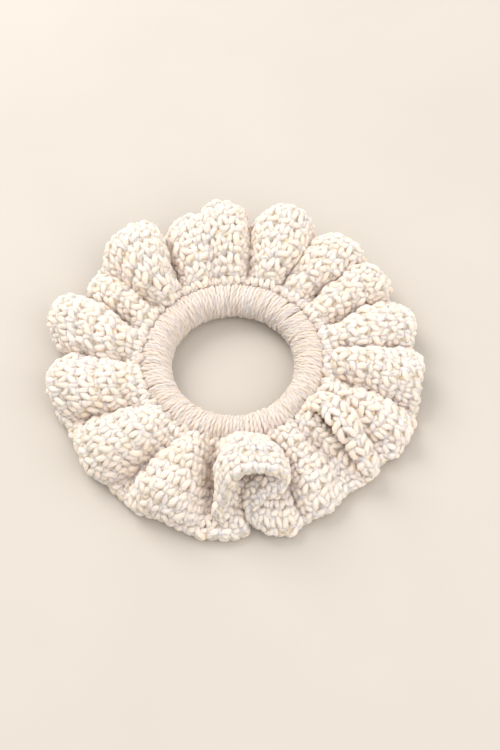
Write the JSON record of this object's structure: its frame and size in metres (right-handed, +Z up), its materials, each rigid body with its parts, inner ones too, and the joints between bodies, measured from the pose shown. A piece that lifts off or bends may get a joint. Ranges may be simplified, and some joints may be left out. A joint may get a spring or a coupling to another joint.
{
  "type": "crocheted hair scrunchie",
  "caption": "Crocheted cotton scrunchie: yarn worked tightly round an elastic loop, with a deep puffed ruffle worked on to the outside of the ring.",
  "frame": {"origin": "middle of the outline on the plane the scrunchie rests on, under the middle of the hair opening", "axes": "+Z up through the hair opening; +Y towards the folds opposite the seam side; the open seam of the ruffle is at 41.5 degrees clockwise of +X"},
  "size_m": [0.116, 0.1104, 0.0175],
  "materials": {
    "yarn": "matte",
    "braid": "matte",
    "rubber": "matte",
    "sleeve": "satin"
  },
  "bodies": {
    "ring_00": {"yarn_wraps_00": "yarn", "elastic_core": "rubber", "elastic_join_sleeve": "sleeve", "elastic_braid": "braid"},
    "ring_01": {"yarn_wraps_01": "yarn"},
    "ring_02": {"yarn_wraps_02": "yarn"},
    "ring_03": {"yarn_wraps_03": "yarn"},
    "ring_04": {"yarn_wraps_04": "yarn"},
    "ring_05": {"yarn_wraps_05": "yarn"},
    "ring_06": {"yarn_wraps_06": "yarn"},
    "ring_07": {"yarn_wraps_07": "yarn"},
    "ring_08": {"yarn_wraps_08": "yarn"},
    "ring_09": {"yarn_wraps_09": "yarn"},
    "ring_10": {"yarn_wraps_10": "yarn"},
    "ring_11": {"yarn_wraps_11": "yarn"},
    "ruffle_00": {"fold_i": "yarn"},
    "web_00": {"fold_h": "yarn"},
    "ruffle_01": {"fold_g": "yarn"},
    "web_01": {"fold_f": "yarn"},
    "ruffle_02": {"fold_e": "yarn"},
    "web_02": {"fold_d": "yarn"},
    "ruffle_03": {"fold_c_near": "yarn"},
    "web_03": {"fold_c_far": "yarn"},
    "ruffle_04": {"fold_b2": "yarn"},
    "web_04": {"fold_b1": "yarn"},
    "ruffle_05": {"fold_a": "yarn"},
    "web_05": {"fold_p": "yarn"},
    "ruffle_06": {"fold_o_near": "yarn"},
    "web_06": {"fold_o_far": "yarn"},
    "ruffle_07": {"fold_n_near": "yarn"},
    "web_07": {"fold_n_far": "yarn"},
    "ruffle_08": {"fold_m_near": "yarn"},
    "web_08": {"fold_m_far": "yarn"},
    "ruffle_09": {"fold_l_near": "yarn"},
    "web_09": {"fold_l_far": "yarn"},
    "ruffle_10": {"fold_k_near": "yarn"},
    "web_10": {"fold_k_far": "yarn"},
    "ruffle_11": {"fold_j": "yarn"}
  },
  "joints": [
    {"name": "loop_stretch_00", "type": "slide", "parent": "ring_00", "child": "ring_01", "axis": [0.1865, 0.9825, 0], "range_m": [0, 0.00662]},
    {"name": "loop_stretch_01", "type": "slide", "parent": "ring_01", "child": "ring_02", "axis": [-0.4007, 0.9162, 0], "range_m": [0, 0.00757]},
    {"name": "loop_stretch_02", "type": "slide", "parent": "ring_02", "child": "ring_03", "axis": [-0.8363, 0.5483, 0], "range_m": [0, 0.00611]},
    {"name": "loop_stretch_03", "type": "slide", "parent": "ring_03", "child": "ring_04", "axis": [-0.9981, 0.061, 0], "range_m": [0, 0.00621]},
    {"name": "loop_stretch", "type": "slide", "parent": "ring_04", "child": "ring_05", "axis": [-0.8572, -0.515, 0], "range_m": [0, 0.00801], "deforming": ["elastic_core", "elastic_braid"]},
    {"name": "loop_stretch_05", "type": "slide", "parent": "ring_05", "child": "ring_06", "axis": [-0.4127, -0.9109, 0], "range_m": [0, 0.00626]},
    {"name": "loop_stretch_06", "type": "slide", "parent": "ring_06", "child": "ring_07", "axis": [0.0632, -0.998, 0], "range_m": [0, 0.00535]},
    {"name": "loop_stretch_07", "type": "slide", "parent": "ring_07", "child": "ring_08", "axis": [0.5188, -0.8549, 0], "range_m": [0, 0.00611]},
    {"name": "loop_stretch_08", "type": "slide", "parent": "ring_08", "child": "ring_09", "axis": [0.8693, -0.4943, 0], "range_m": [0, 0.00596]},
    {"name": "loop_stretch_09", "type": "slide", "parent": "ring_09", "child": "ring_10", "axis": [0.9992, -0.0393, 0], "range_m": [0, 0.0054]},
    {"name": "loop_stretch_10", "type": "slide", "parent": "ring_10", "child": "ring_11", "axis": [0.9188, 0.3947, 0], "range_m": [0, 0.0052]},
    {"name": "ruffle_roll", "type": "hinge", "parent": "ring_00", "child": "ruffle_00", "pos_m": [0.02154, -0.00972, 0.00526], "axis": [-0.4501, -0.893, 0], "range_deg": [0, 30]},
    {"name": "ruffle_roll_01", "type": "hinge", "parent": "ring_01", "child": "ruffle_01", "pos_m": [0.02405, 0.00349, 0.00526], "axis": [0.0915, -0.9958, 0], "range_deg": [0, 30.01]},
    {"name": "ruffle_roll_02", "type": "hinge", "parent": "ring_02", "child": "ruffle_02", "pos_m": [0.01788, 0.01759, 0.00526], "axis": [0.6691, -0.7431, 0], "range_deg": [0, 30.01]},
    {"name": "ruffle_roll_03", "type": "hinge", "parent": "ring_03", "child": "ruffle_03", "pos_m": [0.00749, 0.0244, 0.00526], "axis": [0.9483, -0.3173, 0], "range_deg": [0, 30.01]},
    {"name": "ruffle_roll_04", "type": "hinge", "parent": "ring_04", "child": "ruffle_04", "pos_m": [-0.00511, 0.02517, 0.00526], "axis": [0.9799, 0.1994, 0], "range_deg": [0, 30.01]},
    {"name": "ruffle_roll_05", "type": "hinge", "parent": "ring_05", "child": "ruffle_05", "pos_m": [-0.01908, 0.01678, 0.00526], "axis": [0.6361, 0.7716, 0], "range_deg": [0, 30.01]},
    {"name": "ruffle_roll_06", "type": "hinge", "parent": "ring_06", "child": "ruffle_06", "pos_m": [-0.02433, 0.00518, 0.00526], "axis": [0.1607, 0.987, 0], "range_deg": [0, 30.01]},
    {"name": "ruffle_roll_07", "type": "hinge", "parent": "ring_07", "child": "ruffle_07", "pos_m": [-0.02364, -0.00567, 0.00526], "axis": [-0.284, 0.9588, 0], "range_deg": [0, 30.01]},
    {"name": "ruffle_roll_08", "type": "hinge", "parent": "ring_08", "child": "ruffle_08", "pos_m": [-0.0172, -0.01629, 0.00526], "axis": [-0.7193, 0.6947, 0], "range_deg": [0, 30.01]},
    {"name": "ruffle_roll_09", "type": "hinge", "parent": "ring_09", "child": "ruffle_09", "pos_m": [-0.00667, -0.02228, 0.00526], "axis": [-0.9648, 0.263, 0], "range_deg": [0, 30.01]},
    {"name": "ruffle_roll_10", "type": "hinge", "parent": "ring_10", "child": "ruffle_10", "pos_m": [0.0043, -0.02271, 0.00526], "axis": [-0.9825, -0.1865, 0], "range_deg": [0, 30.01]},
    {"name": "ruffle_roll_11", "type": "hinge", "parent": "ring_11", "child": "ruffle_11", "pos_m": [0.01401, -0.01854, 0.00526], "axis": [-0.8116, -0.5842, 0], "range_deg": [0, 30.01]},
    {"name": "fold_spread_00", "type": "slide", "parent": "ruffle_00", "child": "web_00", "axis": [0.1865, 0.9825, 0], "range_m": [0, 0.00662]},
    {"name": "fold_spread_01", "type": "slide", "parent": "ruffle_01", "child": "web_01", "axis": [-0.4007, 0.9162, 0], "range_m": [0, 0.00757]},
    {"name": "fold_spread_02", "type": "slide", "parent": "ruffle_02", "child": "web_02", "axis": [-0.8363, 0.5483, 0], "range_m": [0, 0.00611]},
    {"name": "fold_spread_03", "type": "slide", "parent": "ruffle_03", "child": "web_03", "axis": [-0.9981, 0.061, 0], "range_m": [0, 0.00621]},
    {"name": "fold_spread_04", "type": "slide", "parent": "ruffle_04", "child": "web_04", "axis": [-0.8572, -0.515, 0], "range_m": [0, 0.00801]},
    {"name": "fold_spread_05", "type": "slide", "parent": "ruffle_05", "child": "web_05", "axis": [-0.4127, -0.9109, 0], "range_m": [0, 0.00626]},
    {"name": "fold_spread_06", "type": "slide", "parent": "ruffle_06", "child": "web_06", "axis": [0.0632, -0.998, 0], "range_m": [0, 0.00535]},
    {"name": "fold_spread_07", "type": "slide", "parent": "ruffle_07", "child": "web_07", "axis": [0.5188, -0.8549, 0], "range_m": [0, 0.00611]},
    {"name": "fold_spread_08", "type": "slide", "parent": "ruffle_08", "child": "web_08", "axis": [0.8693, -0.4943, 0], "range_m": [0, 0.00596]},
    {"name": "fold_spread_09", "type": "slide", "parent": "ruffle_09", "child": "web_09", "axis": [0.9992, -0.0393, 0], "range_m": [0, 0.0054]},
    {"name": "fold_spread_10", "type": "slide", "parent": "ruffle_10", "child": "web_10", "axis": [0.9188, 0.3947, 0], "range_m": [0, 0.0052]}
  ],
  "couplings": [
    {"joint": "loop_stretch_00", "follows": "loop_stretch", "ratio": 0.82574},
    {"joint": "loop_stretch_01", "follows": "loop_stretch", "ratio": 0.94436},
    {"joint": "loop_stretch_02", "follows": "loop_stretch", "ratio": 0.76272},
    {"joint": "loop_stretch_03", "follows": "loop_stretch", "ratio": 0.77536},
    {"joint": "loop_stretch_05", "follows": "loop_stretch", "ratio": 0.78167},
    {"joint": "loop_stretch_06", "follows": "loop_stretch", "ratio": 0.66753},
    {"joint": "loop_stretch_07", "follows": "loop_stretch", "ratio": 0.76272},
    {"joint": "loop_stretch_08", "follows": "loop_stretch", "ratio": 0.74375},
    {"joint": "loop_stretch_09", "follows": "loop_stretch", "ratio": 0.6739},
    {"joint": "loop_stretch_10", "follows": "loop_stretch", "ratio": 0.6484},
    {"joint": "ruffle_roll_01", "follows": "ruffle_roll", "ratio": 1},
    {"joint": "ruffle_roll_02", "follows": "ruffle_roll", "ratio": 1},
    {"joint": "ruffle_roll_03", "follows": "ruffle_roll", "ratio": 1},
    {"joint": "ruffle_roll_04", "follows": "ruffle_roll", "ratio": 1},
    {"joint": "ruffle_roll_05", "follows": "ruffle_roll", "ratio": 1},
    {"joint": "ruffle_roll_06", "follows": "ruffle_roll", "ratio": 1},
    {"joint": "ruffle_roll_07", "follows": "ruffle_roll", "ratio": 1},
    {"joint": "ruffle_roll_08", "follows": "ruffle_roll", "ratio": 1},
    {"joint": "ruffle_roll_09", "follows": "ruffle_roll", "ratio": 1},
    {"joint": "ruffle_roll_10", "follows": "ruffle_roll", "ratio": 1},
    {"joint": "ruffle_roll_11", "follows": "ruffle_roll", "ratio": 1},
    {"joint": "fold_spread_00", "follows": "loop_stretch", "ratio": 0.82574},
    {"joint": "fold_spread_01", "follows": "loop_stretch", "ratio": 0.94436},
    {"joint": "fold_spread_02", "follows": "loop_stretch", "ratio": 0.76272},
    {"joint": "fold_spread_03", "follows": "loop_stretch", "ratio": 0.77536},
    {"joint": "fold_spread_04", "follows": "loop_stretch", "ratio": 1},
    {"joint": "fold_spread_05", "follows": "loop_stretch", "ratio": 0.78167},
    {"joint": "fold_spread_06", "follows": "loop_stretch", "ratio": 0.66753},
    {"joint": "fold_spread_07", "follows": "loop_stretch", "ratio": 0.76272},
    {"joint": "fold_spread_08", "follows": "loop_stretch", "ratio": 0.74375},
    {"joint": "fold_spread_09", "follows": "loop_stretch", "ratio": 0.6739},
    {"joint": "fold_spread_10", "follows": "loop_stretch", "ratio": 0.6484}
  ]
}
